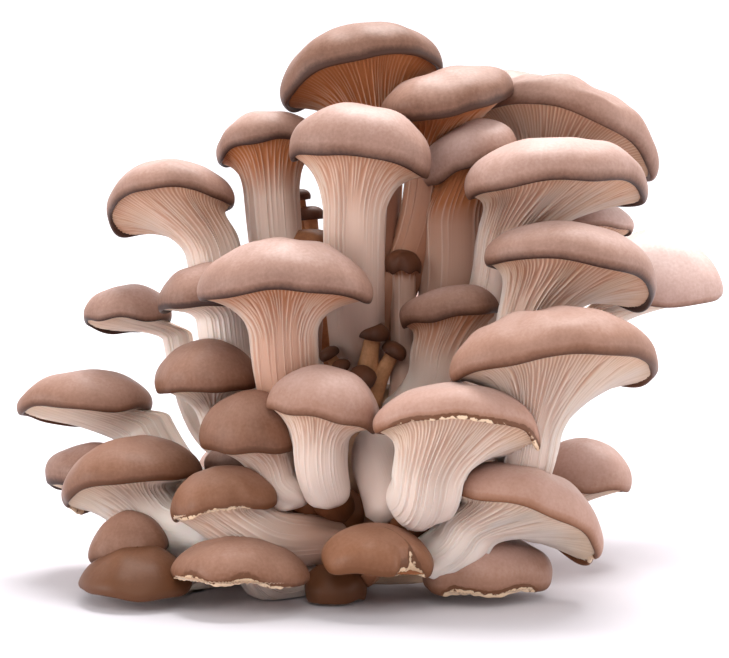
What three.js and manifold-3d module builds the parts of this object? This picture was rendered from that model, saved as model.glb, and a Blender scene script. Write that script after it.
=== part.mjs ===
// Oyster mushroom cluster: a lumpy shared base, bunches of gilled stems grown out of it, and a domed
// cap on every stem. Millimetres, +Z up, seen from -Y. The origin is the middle of the flat cut face
// that the base stands on.
import * as THREE from 'three';
import { mergeVertices } from 'three/addons/utils/BufferGeometryUtils.js';
import Module from 'manifold-3d';

const wasm = await Module();
wasm.setup();

// Driving dimensions
const GAP = 0.4; // clearance between neighbouring pieces
const FLOOR_CLEAR = 0.6; // everything but the base stays this far above the ground
const BASE_PROFILE = [[32, 0], [36, 12], [33, 30], [26, 46], [16, 60]]; // radius and height
const BASE_TOP = 66;
const BASE_LOBES = 5;
const BASE_LOBE_DEPTH = 0.06; // share of the radius
const BASE_SIDES = 18;
const BASE_HEART = new THREE.Vector3(0, 4, 22); // the stems point away from here where they start
const KNUCKLE = 9.5; // radius of the lump that joins a bunch's stems

// Cap and gill form, as shares of the cap's own sizes unless a length is named
const LIP = 1.6; // millimetres that the rim hangs below the margin
const SIDE_SAG = [0.085, 0.085]; // of the width, at the left and right sides
const SAG_POWER = 2.3; // how late the sides start to sag
const FRONT_SAG = 0.03; // of the width, at the outer end
const LOBE = 0.035; // waviness of the margin
const CAP_RINGS = [[0.96, 0], [1, 0.2], [0.87, 0.62], [0.5, 0.92]]; // share of margin, share of dome
const CAP_SIDES_PER_MM = 0.22;
const GILLS_PER_MM = 0.125;
const GILL_EDGE = 0.92; // where the gills end, as a share of the margin
const GILL_DEPTH = 0.03; // of the width
const GILL_CLEAR = 0.8; // millimetres between the rim and the gills' edge
const NECK_SHIFT = 0.5; // of the inner length, towards the cluster
const BRIDGE = 0.75; // radius of the bridge from a foot to its lump, of the stem's radius
const TAPER = 0.8; // a stem's radius at its root, of that at its neck
const LEAN = 0.25; // how much a stem slants where it meets its cap
const FLARE_RINGS = [0.4, 0.75, 1];
const STEM_RINGS = [0.06, 0.45, 1];

// The lumps on the base from which each bunch of stems grows
const bunchRoots = {
  crown: [-2, 4, 66],
  left_high: [-18, 8, 52],
  right_high: [19, 8, 52],
  right_mid: [28, -8, 32],
  middle: [13, -14, 54],
  left_front: [-17, -20, 44],
  left_mid: [-30, -6, 34],
  left_low: [-34, -14, 14],
  front: [-10, -36, 27],
  front_right: [12, -36, 19],
  front_low: [-8, -36, 9],
  back_high: [8, 24, 48],
  back_low: [4, 34, 18],
};

const UP = new THREE.Vector3(0, 0, 1);
const rad = THREE.MathUtils.degToRad;

// One mushroom. at is the middle of the cap's margin; size is the cap's width, its lengths outwards and
// inwards from there, and its dome height; turn is the compass bearing that the cap faces (-90 is the
// front), how far its outer end is tipped up, and how far its right side is; stem is the drop from the
// cap to the neck, the neck's radius, and how far the neck lies inwards and to the right. Some have a sag,
// droop, lean or taper of their own, and some a foot: the blunt end of a stem that hangs out of its bunch.
function mushroom(name, bunch, at, size, turn, stem, own = {}) {
  const [width, reach, back, dome] = size;
  const [face, pitch, roll] = turn;
  const [drop, radius, inward = NECK_SHIFT * back, side = 0] = stem;
  const spin = new THREE.Euler(rad(roll), -rad(pitch), rad(face), 'ZYX');
  const frame = new THREE.Matrix4().makeRotationFromEuler(spin).setPosition(...at);
  const half = width / 2;
  const cap = { width, half, reach, back, dome, sag: SIDE_SAG, droop: FRONT_SAG, phase: at[0] };
  return { name, bunch, frame, ...cap, drop, radius, inward, side, taper: TAPER, lean: LEAN, ...own };
}

const mushrooms = [
  mushroom('top', 'crown', [-1.5, 15, 178], [60, 27, 17, 17], [-90, 20, 11], [26, 11, 4],
    { sag: [0.11, 0.065] }),
  mushroom('top_right', 'crown', [29, -2, 168], [49, 22, 15, 12], [-75, 5, 13], [20, 9, 8, -9],
    { sag: [0.03, 0.02], droop: 0.1 }),
  mushroom('high_right', 'right_high', [72, 24, 157], [74, 30, 20, 16], [-85, 23, -17], [26, 11.5]),
  mushroom('high_left', 'left_high', [-35, 8, 153], [39, 18, 13, 12], [-100, 12, 10], [20, 10.5, 0, -1],
    { sag: [0.1, 0.085] }),
  mushroom('centre', 'crown', [-1, -27, 150], [49, 20, 14, 17], [-90, 6, -6], [22, 11.5, -2, 0],
    { sag: [0.06, 0.12] }),
  mushroom('centre_right', 'right_high', [37.5, -6, 149], [36, 15, 12, 12], [-95, -5, 24], [20, 13, 4, -15]),
  mushroom('right_upper', 'right_high', [66, -25, 140], [69, 28, 20, 15], [-62, 11, -3], [22, 12, 15, -12],
    { sag: [0.08, 0.08] }),
  mushroom('left_upper', 'left_high', [-69, 0, 132], [48, 24, 17, 14], [-125, 18, 15], [20, 10.5, 9, 12],
    { sag: [0.11, 0.06] }),
  mushroom('middle_left', 'left_front', [-27, -47, 106], [59, 24, 17, 16], [-90, 6, 0], [18, 11.5, -3, 0]),
  mushroom('right_middle', 'right_mid', [71, -40, 111], [64, 27, 20, 15], [-60, 10, -14], [20, 12, 9, -9],
    { sag: [0.05, 0.11] }),
  mushroom('right_small', 'right_high', [82, 15, 124], [28, 16, 11, 9], [-20, 0, -15], [13, 5]),
  mushroom('right_far', 'right_high', [111, 60, 97], [46, 28, 24, 23], [0, 0, 0], [15, 8, 22]),
  mushroom('left_middle', 'left_mid', [-55, -20, 100], [38, 17, 12, 12], [-110, 0, 5], [14, 8.4, 2, 4]),
  mushroom('left_outer', 'left_mid', [-84, 5, 91], [32, 18, 14, 12], [-160, 4, 14], [13, 6.5, 17]),
  mushroom('middle_right', 'middle', [32, -20, 94], [39, 17, 12, 10], [-75, 12, 5], [16, 10.5, 2, -8],
    { sag: [0.03, 0.06] }),
  mushroom('right_lower', 'right_mid', [64, -62, 82], [74, 30, 21, 17], [-65, 16, -4], [24, 11, 6, -8]),
  mushroom('left_centre', 'left_mid', [-55, -30, 73], [38, 17, 12, 13], [-105, -5, 3], [16, 6]),
  mushroom('left_tip', 'left_low', [-97.5, -8, 60], [43, 26, 22, 13], [-165, 4, 16], [11, 10.5, 19],
    { lean: 0.55 }),
  mushroom('front_upper', 'front', [-13, -62, 66], [38, 17, 12, 14], [-85, 1, -13], [14, 9.4, -2, 1],
    { foot: [-11.5, -57, 32] }),
  mushroom('front_left', 'front', [-38, -52, 56], [36, 17, 12, 15], [-110, -8, 0], [14, 8, 0, 7],
    { foot: [-21.7, -52, 31] }),
  mushroom('front_right', 'front_right', [32, -70, 60], [58, 24, 16, 14], [-70, 21, -12], [18, 12.5, 3, -9],
    { sag: [0.07, 0.11], foot: [15.5, -60, 32] }),
  mushroom('right_low', 'right_mid', [79, 5, 32], [34, 19, 14, 15], [-20, -5, -8], [13, 6]),
  mushroom('left_lower', 'left_low', [-81, -32, 37], [54, 25, 18, 15], [-125, 6, 18], [14, 12, 4, 4],
    { foot: [-48, -46, 16], lean: 0.6, taper: 0.65 }),
  mushroom('left_behind', 'left_low', [-97, -2, 34], [36, 18, 16, 12], [-160, 0, 10], [13, 6]),
  mushroom('front_droop', 'front_right', [54, -64, 31], [58, 24, 16, 15], [-60, 9, -25], [12, 10.5, 10, -14],
    { sag: [0.06, 0.12], foot: [20, -58, 10], lean: 0.5 }),
  mushroom('front_torn', 'front_low', [-48, -58, 34], [38, 18, 13, 12], [-115, 0, 12], [12, 11, 4, 7],
    { foot: [-8, -46, 14], lean: 0.75, taper: 0.6 }),
  mushroom('left_tucked', 'left_mid', [-45, -25, 42], [22, 10, 8, 7], [-100, 0, 0], [10, 4]),
  mushroom('floor_front', 'front_low', [-42, -72, 15], [48, 20, 15, 9], [-110, -2, 0], [8, 7, 12]),
  mushroom('front_bottom', 'front_low', [4, -76, 19], [37, 17, 13, 10], [-90, -6, -5], [10, 7, 10]),
  mushroom('floor_left_upper', 'left_low', [-79, -44, 17], [30, 16, 11, 12], [-150, -5, 4], [8, 5, 10]),
  mushroom('floor_left', 'left_low', [-76, -58, 9], [43, 21, 14, 10], [-135, -4, 0], [6, 5, 13]),
  mushroom('floor_right', 'front_right', [41, -54, 9], [45, 20, 14, 13], [-75, -6, 0], [6, 6, 13]),
  mushroom('floor_dark', 'front_low', [-10, -60, 5], [21, 10, 8, 8], [-90, -12, 0], [3, 3, 7]),
  mushroom('bud_middle', 'middle', [14, -3, 110], [13, 7, 6, 6], [-90, 0, 0], [6, 3.8, 0]),
  mushroom('bud_left', 'left_high', [-19, 2, 114], [24, 10, 9, 9], [-90, 0, 0], [10, 5, 0]),
  mushroom('back_top', 'back_high', [50, 48, 170], [46, 20, 14, 11], [60, 6, 0], [20, 8]),
  mushroom('back_upper', 'back_high', [0, 52, 147], [44, 20, 14, 12], [100, 8, 0], [20, 8]),
  mushroom('back_side', 'back_high', [66, 52, 108], [48, 22, 15, 13], [50, 6, 0], [20, 8]),
  mushroom('back_centre', 'back_high', [4, 66, 84], [58, 25, 17, 15], [95, 8, 0], [24, 9]),
  mushroom('back_right', 'back_low', [58, 68, 70], [56, 25, 17, 15], [60, 6, 0], [22, 9]),
  mushroom('back_left', 'back_high', [-46, 56, 98], [46, 21, 14, 13], [120, 6, 0], [19, 7.5]),
  mushroom('back_lower', 'back_low', [0, 80, 43], [60, 25, 17, 15], [90, 6, 0], [21, 9.5]),
  mushroom('back_floor_right', 'back_low', [50, 64, 23], [50, 23, 15, 13], [40, 2, 0], [14, 8]),
  mushroom('back_floor_left', 'back_low', [-42, 58, 26], [50, 23, 15, 13], [130, 2, 0], [15, 8]),
];

// Blunt stems without a cap: their bunch, root, tip and radius
const stubs = [['front_right', [9.6, -55, 33], [0.6, -46, 57], 8]];

// Bunches of tiny mushrooms: the point that they spring from, and each head's middle and radius
const pinBunches = {
  middle: {
    root: [-1, -14, 60],
    stem: 2.6,
    heads: [
      [[3, -18, 86], 5],
      [[-12, -17, 79], 3.2],
      [[-8, -20, 75], 3],
      [[10, -18, 80], 4],
      [[-1, -23, 71], 4.5],
    ],
  },
  back: { root: [-14, 16, 56], stem: 3.4, heads: [[[-24, 20, 133], 3.8], [[-20, 19, 126], 4.6]] },
};

// Colours
const capSkin = new THREE.MeshStandardMaterial({ color: 0x9a7a68, roughness: 0.55, metalness: 0 });
const paleFlesh = new THREE.MeshStandardMaterial({ color: 0xe9d8c6, roughness: 0.7, metalness: 0 });
const budSkin = new THREE.MeshStandardMaterial({ color: 0x6b4c3c, roughness: 0.6, metalness: 0 });
const baseFlesh = new THREE.MeshStandardMaterial({ color: 0xcdb49a, roughness: 0.85, metalness: 0 });

// A closed skin over a stack of rings, lowest first; a ring of one point is a tip.
function skin(stack) {
  const points = stack.flat();
  const faces = [];
  let start = 0;
  for (let level = 0; level + 1 < stack.length; level++) {
    const [low, high] = [stack[level], stack[level + 1]];
    const above = start + low.length;
    const sides = Math.max(low.length, high.length);
    for (let i = 0; i < sides; i++) {
      const next = (i + 1) % sides;
      if (low.length > 1) faces.push(start + i, start + next, above + (high.length > 1 ? next : 0));
      if (high.length > 1) faces.push(low.length > 1 ? start + i : start, above + next, above + i);
    }
    start = above;
  }
  const vertProperties = new Float32Array(points.flatMap((p) => p.toArray()));
  return new wasm.Manifold(new wasm.Mesh({ numProp: 3, vertProperties, triVerts: new Uint32Array(faces) }));
}

function ring(sides, pointAt) {
  return Array.from({ length: sides }, (_, i) => pointAt((i / sides) * 2 * Math.PI, i));
}

// A three.js geometry as a solid.
function solidOf(geometry) {
  const bare = geometry.clone().deleteAttribute('normal').deleteAttribute('uv');
  const merged = mergeVertices(bare, 1e-3);
  const vertProperties = new Float32Array(merged.attributes.position.array);
  return new wasm.Manifold(
    new wasm.Mesh({ numProp: 3, vertProperties, triVerts: new Uint32Array(merged.index.array) }),
  );
}

// A point of the cap at a bearing round the margin, a share of the way out to it and a height above it.
// The margin is a long-fronted oval that sags at its sides and its outer end.
function capPoint(m, angle, share, height, grow = 0) {
  const c = Math.cos(angle);
  const wave = 1 + LOBE * Math.sin(3 * angle + m.phase);
  const length = (m.reach + m.back) / 2 + ((m.reach - m.back) / 2) * c;
  const x = c * (length * wave * share + grow);
  const y = Math.sin(angle) * (m.half * wave * share + grow);
  const front = Math.max(x, 0) / m.reach;
  const sideSag = m.sag[y < 0 ? 0 : 1] * Math.abs(y / m.half) ** SAG_POWER;
  const sag = m.width * (sideSag + m.droop * front ** 2);
  return new THREE.Vector3(x, y, height - sag).applyMatrix4(m.frame);
}

function capSolid(m, grow = 0) {
  const sides = THREE.MathUtils.clamp(Math.round(m.width * CAP_SIDES_PER_MM), 8, 15);
  const rings = CAP_RINGS.map(([share, rise]) => {
    const height = rise === 0 ? -LIP - grow : rise * (m.dome + grow);
    return ring(sides, (angle) => capPoint(m, angle, share, height, grow));
  });
  const floor = [capPoint(m, 0, 0, LIP - grow)];
  const apex = [capPoint(m, 0, 0, m.dome + grow)];
  return skin([floor, ...rings, apex]);
}

// The stem's line, from its foot or its bunch's lump to the neck under the cap.
function stemLine(m) {
  const root = new THREE.Vector3(...(m.foot ?? bunchRoots[m.bunch]));
  const neck = new THREE.Vector3(-m.inward, m.side, -m.drop).applyMatrix4(m.frame);
  const capUp = new THREE.Vector3().setFromMatrixColumn(m.frame, 2);
  const chord = neck.clone().sub(root);
  const handle = chord.length() * 0.36;
  chord.normalize();
  const arrive = chord.clone().multiplyScalar(m.lean).addScaledVector(capUp, 0.2);
  arrive.addScaledVector(UP, 0.8 - m.lean).normalize();
  const away = m.foot ? UP : root.clone().sub(BASE_HEART).normalize();
  const leave = away.clone().lerp(chord, 0.6).normalize();
  const bend = root.clone().addScaledVector(leave, handle);
  const under = neck.clone().addScaledVector(arrive, -handle * 1.2);
  const curve = new THREE.CubicBezierCurve3(root, bend, under, neck);
  return { curve, length: root.distanceTo(neck), arrive, capUp, neck };
}

// A stem with the gills under its cap: round below, ridged above, flaring out to the gills' edge.
// Every second point round it lies in the groove between two gills.
function stemSolid(m, grow = 0) {
  const { curve, length, arrive, capUp, neck } = stemLine(m);
  const gills = THREE.MathUtils.clamp(Math.round(m.width * GILLS_PER_MM), 4, 10);
  const depth = m.width * GILL_DEPTH;
  const outward = new THREE.Vector3().setFromMatrixColumn(m.frame, 0);
  outward.addScaledVector(arrive, -outward.dot(arrive)).normalize();
  const across = new THREE.Vector3().crossVectors(arrive, outward);
  const radial = (angle) =>
    outward.clone().multiplyScalar(Math.cos(angle)).addScaledVector(across, Math.sin(angle));

  const blunt = (m.radius * m.taper) / length;
  const rounding = (s) => (m.foot ? Math.sqrt(1 - Math.max(0, 1 - s / blunt) ** 2) : 1);

  const stemRing = (s) => {
    const turn = new THREE.Quaternion().setFromUnitVectors(arrive, curve.getTangent(s));
    const centre = curve.getPoint(s);
    const radius = m.radius * (m.taper + (1 - m.taper) * s) * rounding(s) + grow;
    return ring(2 * gills, (angle, i) => {
      const groove = (i % 2) * depth * (0.1 + 0.4 * s);
      return centre.clone().addScaledVector(radial(angle).applyQuaternion(turn), radius - groove);
    });
  };

  const flareRing = (t) =>
    ring(2 * gills, (angle, i) => {
      const foot = neck.clone().addScaledVector(radial(angle), m.radius + grow);
      const rise = foot.clone().addScaledVector(arrive, m.drop * 0.5);
      const under = capPoint(m, angle, GILL_EDGE * 0.72, -LIP - GILL_CLEAR - grow - m.drop * 0.12);
      const edge = capPoint(m, angle, GILL_EDGE, -LIP - GILL_CLEAR - grow, grow);
      const point = new THREE.CubicBezierCurve3(foot, rise, under, edge).getPoint(t);
      const inside = radial(angle).negate().lerp(capUp, t).normalize();
      const groove = (i % 2) * depth * (t < 1 ? 0.5 + 0.5 * Math.sin(Math.PI * t) : 0);
      return point.addScaledVector(inside, groove);
    });

  const rings = [...STEM_RINGS.map(stemRing), ...FLARE_RINGS.map(flareRing)];
  const top = capPoint(m, 0, 0, LIP - GILL_CLEAR - 1);
  return skin([[curve.getPoint(0)], ...rings, [top]]);
}

// A round body along a line; profile gives places along it and the radius there.
function rod(line, profile, sides, grow) {
  const turn = new THREE.Quaternion().setFromUnitVectors(UP, line.getTangent(0));
  const rings = profile.map(([s, radius]) =>
    ring(sides, (angle) => {
      const out = new THREE.Vector3(Math.cos(angle), Math.sin(angle), 0).applyQuaternion(turn);
      return line.getPoint(s).addScaledVector(out, radius + grow);
    }),
  );
  const tip = line.getPoint(1).addScaledVector(line.getTangent(0), grow);
  return skin([[line.getPoint(0)], ...rings, [tip]]);
}

function stubSolid([, root, tip, radius], grow) {
  const line = new THREE.LineCurve3(new THREE.Vector3(...root), new THREE.Vector3(...tip));
  const blunt = [[0.05, 0.8], [0.4, 1], [0.75, 0.88], [0.93, 0.55]];
  return rod(line, blunt.map(([s, share]) => [s, share * radius]), 10, grow);
}

// What joins a foot to its bunch's lump: a thick round bridge that ends inside both.
function bridgeSolid(m, grow) {
  const lump = new THREE.Vector3(...bunchRoots[m.bunch]);
  const line = new THREE.LineCurve3(lump, stemLine(m).curve.getPoint(0.3));
  const radius = m.radius * BRIDGE;
  return rod(line, [[0.01, radius], [0.8, radius * 0.9], [0.95, radius * 0.4]], 8, grow);
}

function bunchSolid(bunch, grow = 0) {
  const lump = new THREE.SphereGeometry(KNUCKLE + grow, 7, 5).translate(...bunchRoots[bunch]);
  const grown = mushrooms.filter((m) => m.bunch === bunch);
  const stems = grown.map((m) => stemSolid(m, grow));
  const bridges = grown.filter((m) => m.foot).map((m) => bridgeSolid(m, grow));
  const blunt = stubs.filter(([home]) => home === bunch).map((stub) => stubSolid(stub, grow));
  return [...stems, ...bridges, ...blunt].reduce((sum, stem) => sum.add(stem), solidOf(lump));
}

// Tiny mushrooms on one lump: bottle-shaped stems under round heads.
function pinsSolid({ root, stem, heads }, grow = 0) {
  const lump = new THREE.SphereGeometry(stem * 2 + grow, 7, 5).translate(...root);
  const pins = heads.map(([at, radius]) => {
    const line = new THREE.LineCurve3(new THREE.Vector3(...root), new THREE.Vector3(...at));
    line.v2.addScaledVector(line.getTangent(0), radius);
    const length = line.getLength();
    const below = (share) => 1 - (radius * share) / length;
    const foot = [[0.01, stem * 1.2], [0.5, stem], [below(1.5), stem * 0.75]];
    return rod(line, [...foot, [below(1.1), radius], [below(0.4), radius * 0.8]], 7, grow);
  });
  return pins.reduce((sum, pin) => sum.add(pin), solidOf(lump));
}

function baseSolid(grow = 0) {
  const layer = ([radius, height]) =>
    ring(BASE_SIDES, (angle) => {
      const lobe = 1 + BASE_LOBE_DEPTH * Math.sin(BASE_LOBES * angle + height / 12);
      const r = radius * lobe + grow;
      return new THREE.Vector3(r * Math.cos(angle), r * Math.sin(angle), height === 0 ? -grow : height);
    });
  const foot = [new THREE.Vector3(0, 0, -grow)];
  const top = [new THREE.Vector3(0, 0, BASE_TOP + grow)];
  return skin([foot, ...BASE_PROFILE.map(layer), top]);
}

// Pieces in the order in which they claim their room: each is cut clear of those before it, and
// what a cut leaves loose is dropped.
const pieces = [
  { name: 'base', material: baseFlesh, make: baseSolid },
  ...mushrooms.map((m) => ({
    name: `cap_${m.name}`,
    material: m.name.startsWith('bud') ? budSkin : capSkin,
    make: (grow) => capSolid(m, grow),
  })),
  ...Object.keys(bunchRoots).map((bunch) => ({
    name: `stems_${bunch}`,
    material: paleFlesh,
    make: (grow) => bunchSolid(bunch, grow),
  })),
  ...Object.entries(pinBunches).map(([name, pins]) => ({
    name: `pins_${name}`,
    material: budSkin,
    make: (grow) => pinsSolid(pins, grow),
  })),
];

const cluster = new THREE.Group();
const placed = [];
for (const piece of pieces) {
  let solid = piece.make(0);
  if (piece.name !== 'base') solid = solid.trimByPlane([0, 0, 1], FLOOR_CLEAR);
  for (const earlier of placed) {
    if (solid.intersect(earlier).volume() > 0) solid = solid.subtract(earlier);
  }
  solid = solid.decompose().reduce((most, body) => (body.volume() > most.volume() ? body : most));
  placed.push(piece.make(GAP).add(solid));

  const { vertProperties, triVerts } = solid.getMesh();
  const geometry = new THREE.BufferGeometry();
  geometry.setAttribute('position', new THREE.BufferAttribute(new Float32Array(vertProperties), 3));
  geometry.setIndex(new THREE.BufferAttribute(triVerts, 1));
  geometry.computeVertexNormals();
  const mesh = new THREE.Mesh(geometry, piece.material);
  mesh.name = piece.name;
  cluster.add(mesh);
}

export default cluster;
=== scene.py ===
import math

import bpy
import numpy as np
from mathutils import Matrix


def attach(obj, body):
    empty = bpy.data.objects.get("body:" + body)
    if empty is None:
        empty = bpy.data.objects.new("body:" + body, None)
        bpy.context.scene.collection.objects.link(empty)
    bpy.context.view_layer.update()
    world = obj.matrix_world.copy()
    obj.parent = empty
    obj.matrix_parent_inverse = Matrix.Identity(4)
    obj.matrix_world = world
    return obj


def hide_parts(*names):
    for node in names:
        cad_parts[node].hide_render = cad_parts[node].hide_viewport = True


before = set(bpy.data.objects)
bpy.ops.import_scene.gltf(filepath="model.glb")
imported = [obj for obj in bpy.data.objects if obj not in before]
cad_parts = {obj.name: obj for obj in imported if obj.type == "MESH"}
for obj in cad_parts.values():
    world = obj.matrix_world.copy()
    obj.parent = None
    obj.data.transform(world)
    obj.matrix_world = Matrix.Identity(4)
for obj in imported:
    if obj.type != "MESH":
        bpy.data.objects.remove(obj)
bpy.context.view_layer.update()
print("frame:", len(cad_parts), "nodes")

mm = 0.001
tau = 2 * math.pi
white = "#ffffff"
black = "#000000"

# the photograph's view: looking along +Y, a little down; metres and degrees, the sensor in millimetres
view = {"target": (0.0, 0.0, 0.087), "distance": 0.8, "elevation": 5.0, "metresPerPixel": 0.00036,
        "imageWidth": 729, "sensor": 36.0, "clip": (0.01, 100.0)}


def makeCamera():
    # back from the target along a tilted line; the lens is sensor times distance over the view's width
    tilt = math.radians(view["elevation"])
    away = view["distance"]
    camera = bpy.data.objects.new("camera", bpy.data.cameras.new("camera"))
    bpy.context.collection.objects.link(camera)
    x, y, z = view["target"]
    camera.location = (x, y - away * math.cos(tilt), z + away * math.sin(tilt))
    camera.rotation_euler = (math.pi / 2 - tilt, 0, 0)
    camera.data.sensor_width = view["sensor"]
    camera.data.lens = view["sensor"] * away / (view["imageWidth"] * view["metresPerPixel"])
    camera.data.clip_start, camera.data.clip_end = view["clip"]
    bpy.context.scene.camera = camera


# softboxes: where each stands, its width in metres, its power in watts and its colour
studio = {
    "above": {"at": (0.2, 0.5, 1.6), "width": 1.1, "watts": 44.0, "colour": white},
    "front": {"at": (-0.1, -1.3, 1.1), "width": 1.1, "watts": 9.5, "colour": "#fffdfb"},
    "left": {"at": (-1.4, -0.5, 0.4), "width": 0.9, "watts": 15.0, "colour": white},
    "right": {"at": (1.4, -0.3, 0.4), "width": 0.9, "watts": 10.0, "colour": white},
}
# a sheet of paper that lies flat and sweeps up behind: sizes in metres
backdrop = {
    "ambient": 0.43,  # strength of the plain white surroundings
    "paper": "#d6d2d7", "roughness": 0.9, "specular": 0.1,
    "glow": 0.7,  # painted light: the paper glows by itself far from the object
    "glowFrom": (0.15, 1.6),  # how far away that light begins, and where it is full
    "flat": (-20.0, -2.5, -1.5, -1.0, -0.6, -0.4, -0.25, -0.15,
             0.15, 0.25, 0.4, 0.6, 1.0, 1.5, 2.5, 3.0),   # rows of the flat part, close near the object
    "sweep": 2.0, "sweepRows": 12, "height": 12.0, "halfWidth": 20.0,
}


def smooth(low, high, value):
    # 0 below low, 1 above high, an S-curve between
    t = np.clip((value - low) / (high - low), 0, 1)
    return t * t * (3 - 2 * t)


def linear(hexColour):
    # sRGB hex to linear red, green, blue, alpha, by the sRGB standard's curve
    parts = [int(hexColour[i:i + 2], 16) / 255 for i in (1, 3, 5)]
    return tuple(c / 12.92 if c <= 0.04045 else ((c + 0.055) / 1.055) ** 2.4 for c in parts) + (1.0,)


def addNode(tree, kind, settings, links=None):
    # one node: settings are its own properties, its inputs' values or a ramp's stops; links feed its inputs
    node = tree.nodes.new(kind)
    for key, value in settings.items():
        if key == "stops":
            marks = node.color_ramp.elements
            while len(marks) < len(value):
                marks.new(0.5)
            for mark, (spot, colour) in zip(marks, value):
                mark.position = spot
                mark.color = linear(colour)
        elif isinstance(key, str) and hasattr(node, key):
            setattr(node, key, value)
        else:
            node.inputs[key].default_value = value
    for key, source in (links or {}).items():
        tree.links.new(source, node.inputs[key])
    return node


def newMaterial(name):
    # an empty node tree to fill
    material = bpy.data.materials.new(name)
    material.use_nodes = True
    tree = material.node_tree
    tree.nodes.clear()
    return material, tree


def makeStudio():
    # white surroundings, and softboxes turned to face the target
    world = bpy.data.worlds.new("studio")
    bpy.context.scene.world = world
    world.use_nodes = True
    surroundings = world.node_tree.nodes["Background"]
    surroundings.inputs["Strength"].default_value = backdrop["ambient"]
    surroundings.inputs["Color"].default_value = linear(white)
    for name, box in studio.items():
        lamp = bpy.data.lights.new(name, "AREA")
        lamp.size = box["width"]
        lamp.energy = box["watts"]
        lamp.color = linear(box["colour"])[:3]
        lampObject = bpy.data.objects.new(name, lamp)
        bpy.context.collection.objects.link(lampObject)
        lampObject.location = box["at"]
        aim = np.array(view["target"]) - np.array(box["at"])
        flat = math.hypot(aim[0], aim[1])
        lampObject.rotation_euler = (math.atan2(flat, -aim[2]), 0, math.atan2(-aim[0], aim[1]))
    makeFloor()
    bpy.context.scene.view_settings.view_transform = "Standard"


def makeFloor():
    # a flat line, a quarter circle and an upright line, drawn out sideways
    turn = np.linspace(0, np.pi / 2, backdrop["sweepRows"] + 1)[1:]
    flat, sweep = np.array(backdrop["flat"]), backdrop["sweep"]
    y = np.concatenate((flat, flat[-1] + sweep * np.sin(turn), [flat[-1] + sweep]))
    z = np.concatenate((0 * flat, sweep * (1 - np.cos(turn)), [backdrop["height"]]))
    glow = backdrop["glow"] * smooth(*backdrop["glowFrom"], np.hypot(y, z))
    half = np.full(len(y), backdrop["halfWidth"])
    verts = np.concatenate((np.stack((-half, y, z), -1), np.stack((half, y, z), -1)))
    index = np.arange(len(y) - 1)
    faces = np.stack((index, index + len(y), index + len(y) + 1, index + 1), -1)
    mesh = bpy.data.meshes.new("floor")
    mesh.from_pydata(verts.tolist(), [], faces.tolist())
    layer = mesh.attributes.new("glow", "FLOAT", "POINT")
    layer.data.foreach_set("value", np.concatenate((glow, glow)).astype(np.float32))
    floor = bpy.data.objects.new("floor", mesh)
    bpy.context.collection.objects.link(floor)
    # white paper: matte, no gloss, glowing by itself as painted light where it is far from the object
    material, tree = newMaterial("white_paper")
    shine = addNode(tree, "ShaderNodeAttribute", {"attribute_name": "glow"})
    paper = addNode(tree, "ShaderNodeBsdfPrincipled",
                    {"Base Color": linear(backdrop["paper"]), "Roughness": backdrop["roughness"],
                     "Specular IOR Level": backdrop["specular"], "Emission Color": linear(white)},
                    {"Emission Strength": shine.outputs["Fac"]})
    addNode(tree, "ShaderNodeOutputMaterial", {}, {"Surface": paper.outputs[0]})
    mesh.materials.append(material)


makeCamera()
makeStudio()
print("camera and studio ready")

# the lumps from which each bunch of stems grows: places in millimetres
bunchRoots = {
    "crown": (-2, 4, 66), "left_high": (-18, 8, 52), "right_high": (19, 8, 52), "right_mid": (28, -8, 32),
    "middle": (13, -14, 54), "left_front": (-17, -20, 44), "left_mid": (-30, -6, 34),
    "left_low": (-34, -14, 14), "front": (-10, -36, 27), "front_right": (12, -36, 19),
    "front_low": (-8, -36, 9), "back_high": (8, 24, 48), "back_low": (4, 34, 18),
}
baseHeart = np.array((0.0, 4.0, 22.0))  # stems spread away from this point
ground = 0.6  # mm that everything but the foot keeps clear of the floor
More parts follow.
